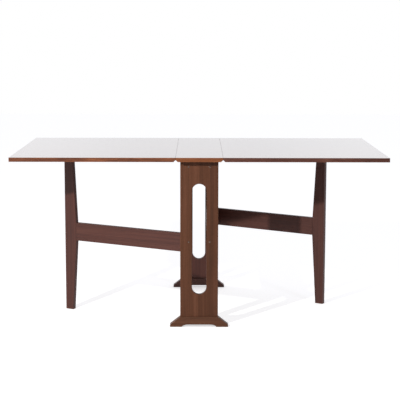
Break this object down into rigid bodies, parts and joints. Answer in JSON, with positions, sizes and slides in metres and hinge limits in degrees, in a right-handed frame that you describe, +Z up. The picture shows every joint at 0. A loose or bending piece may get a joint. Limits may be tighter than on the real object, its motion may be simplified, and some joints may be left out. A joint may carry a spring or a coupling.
{
  "type": "gateleg dining table",
  "caption": "Gateleg dining table: drop leaves hinged to a narrow centre board on slotted end panels with bracket feet, held up by swinging gates.",
  "frame": {"origin": "on the floor under the middle of the open top", "axes": "+X along the open table to the right, +Y from front to back, +Z up"},
  "size_m": [1.6, 0.9, 0.735],
  "materials": {
    "top_veneer": "satin lacquer",
    "frame_wood": "satin lacquer",
    "gate_wood": "satin lacquer",
    "hinge_brass": "dull",
    "plated_steel": "plated"
  },
  "bodies": {
    "frame": {"centre_top": "top_veneer", "front_foot": "frame_wood", "front_left_stretcher_screw": "plated_steel", "front_left_top_rail_screw": "plated_steel", "front_panel": "frame_wood", "front_right_stretcher_screw": "plated_steel", "front_right_top_rail_screw": "plated_steel", "left_front_leaf_hinge_board_flap": "hinge_brass", "left_front_leaf_hinge_pin": "hinge_brass", "left_front_top_screw": "plated_steel", "left_gate_hinge_frame_flap": "plated_steel", "left_gate_hinge_frame_screw_lower": "plated_steel", "left_gate_hinge_frame_screw_upper": "plated_steel", "left_gate_hinge_pin": "plated_steel", "left_rear_leaf_hinge_board_flap": "hinge_brass", "left_rear_leaf_hinge_pin": "hinge_brass", "left_rear_top_screw": "plated_steel", "left_stretcher": "frame_wood", "left_top_rail": "frame_wood", "rear_foot": "frame_wood", "rear_left_stretcher_screw": "plated_steel", "rear_left_top_rail_screw": "plated_steel", "rear_panel": "frame_wood", "rear_right_stretcher_screw": "plated_steel", "rear_right_top_rail_screw": "plated_steel", "right_front_leaf_hinge_board_flap": "hinge_brass", "right_front_leaf_hinge_pin": "hinge_brass", "right_front_top_screw": "plated_steel", "right_gate_hinge_frame_flap": "plated_steel", "right_gate_hinge_frame_screw_lower": "plated_steel", "right_gate_hinge_frame_screw_upper": "plated_steel", "right_gate_hinge_pin": "plated_steel", "right_rear_leaf_hinge_board_flap": "hinge_brass", "right_rear_leaf_hinge_pin": "hinge_brass", "right_rear_top_screw": "plated_steel", "right_stretcher": "frame_wood", "right_top_rail": "frame_wood"},
    "left_leaf": {"left_front_leaf_hinge_leaf_flap": "hinge_brass", "left_leaf": "top_veneer", "left_rear_leaf_hinge_leaf_flap": "hinge_brass"},
    "right_leaf": {"right_front_leaf_hinge_leaf_flap": "hinge_brass", "right_leaf": "top_veneer", "right_rear_leaf_hinge_leaf_flap": "hinge_brass"},
    "left_gate": {"left_gate_hinge_gate_flap": "plated_steel", "left_gate_hinge_gate_screw_lower": "plated_steel", "left_gate_hinge_gate_screw_upper": "plated_steel", "left_gate_leg": "gate_wood", "left_gate_rail": "gate_wood"},
    "right_gate": {"right_gate_hinge_gate_flap": "plated_steel", "right_gate_hinge_gate_screw_lower": "plated_steel", "right_gate_hinge_gate_screw_upper": "plated_steel", "right_gate_leg": "gate_wood", "right_gate_rail": "gate_wood"}
  },
  "joints": [
    {"name": "left_gate_swing", "type": "hinge", "parent": "frame", "child": "left_gate", "pos_m": [-0.057, -0.36, 0.3615], "axis": [0, 0, 1], "range_deg": [-60.5, 29.5]},
    {"name": "right_gate_swing", "type": "hinge", "parent": "frame", "child": "right_gate", "pos_m": [0.057, 0.36, 0.3615], "axis": [0, 0, 1], "range_deg": [-56.5, 33.5]},
    {"name": "left_leaf_hinge", "type": "hinge", "parent": "frame", "child": "left_leaf", "pos_m": [-0.1, 0, 0.718], "axis": [0, 1, 0], "range_deg": [0, 1.5]},
    {"name": "right_leaf_hinge", "type": "hinge", "parent": "frame", "child": "right_leaf", "pos_m": [0.1, 0, 0.718], "axis": [0, -1, 0], "range_deg": [0, 1.5]}
  ]
}
